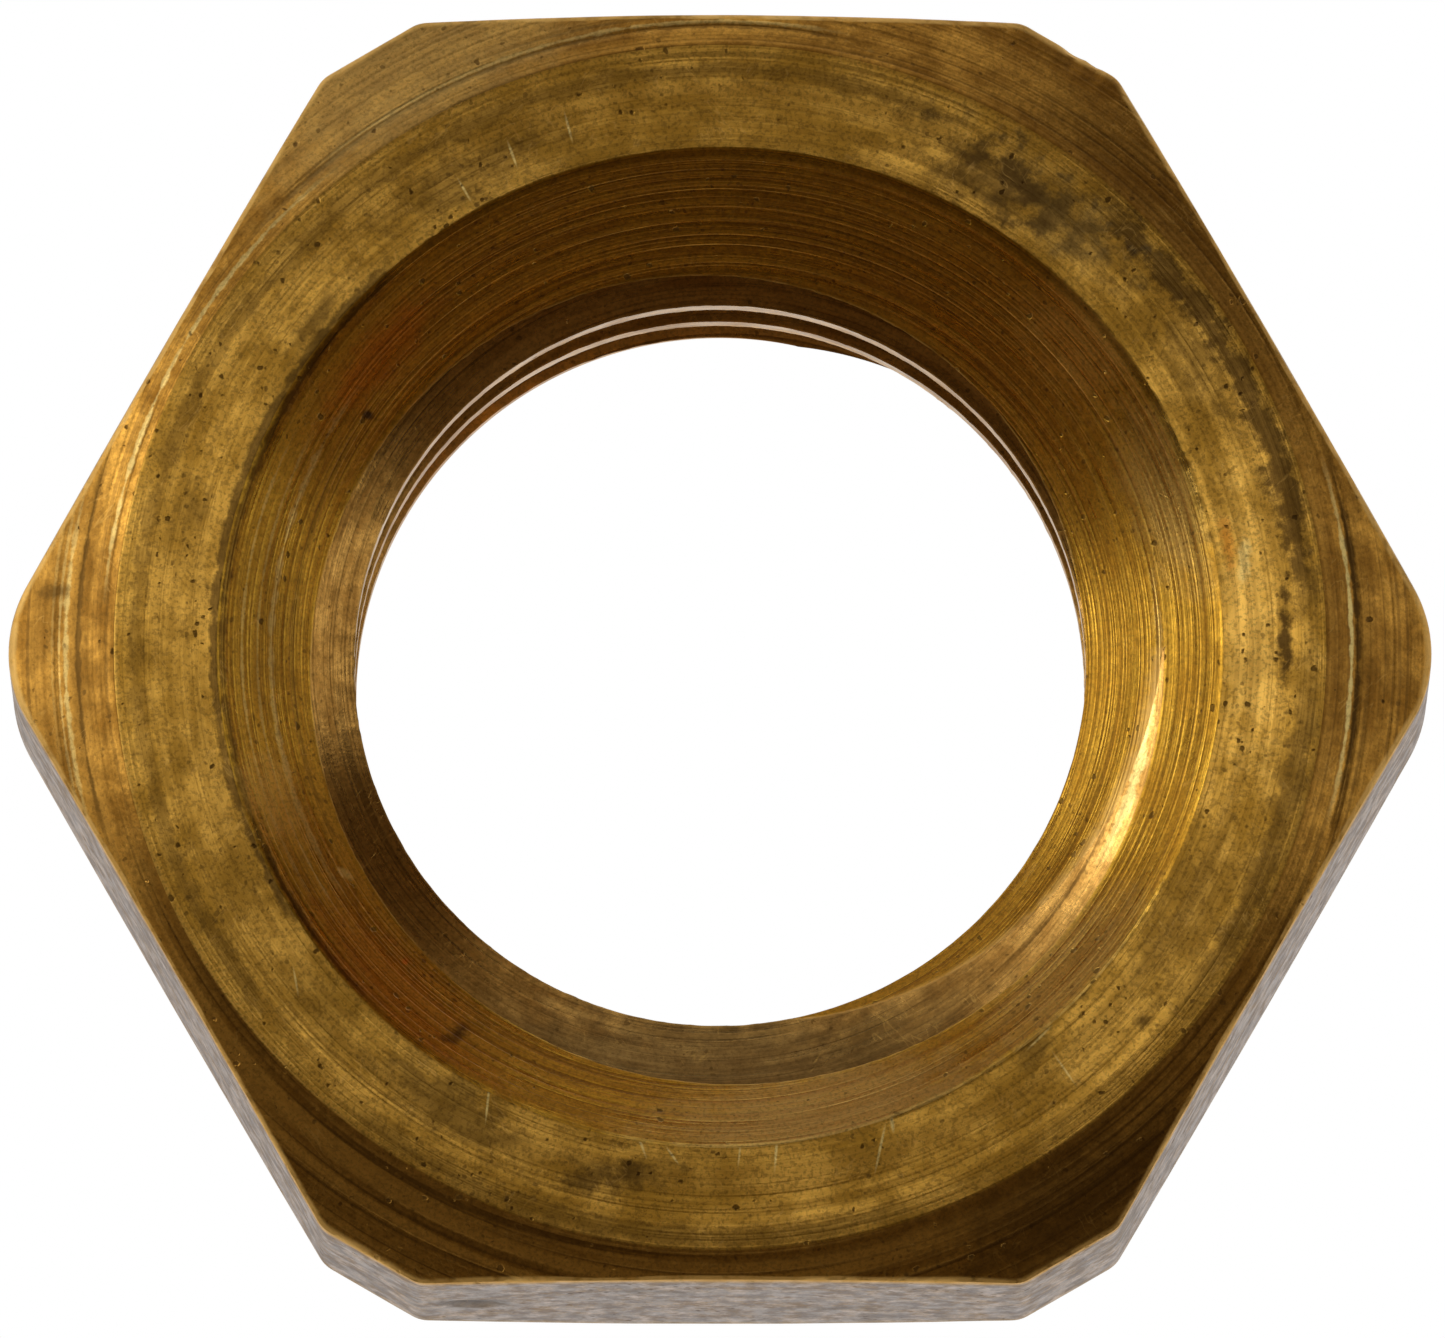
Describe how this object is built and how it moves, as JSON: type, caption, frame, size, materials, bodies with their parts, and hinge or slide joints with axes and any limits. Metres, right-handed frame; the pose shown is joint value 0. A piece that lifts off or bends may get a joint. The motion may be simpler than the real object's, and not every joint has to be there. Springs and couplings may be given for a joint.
{
  "type": "hex nut",
  "caption": "Thin brass hex nut with a right-hand 7/16-14 thread, a countersunk bearing face and chamfered corners.",
  "frame": {"origin": "on the thread axis, in the plane of the back face", "axes": "+Z along the thread axis, out of the countersunk face; +X towards a corner of the hexagon, +Y towards a flat"},
  "size_m": [0.0178, 0.0158, 0.0063],
  "materials": {
    "brass": "tarnished, turned"
  },
  "bodies": {
    "root": {"nut_body": "brass"}
  },
  "joints": []
}
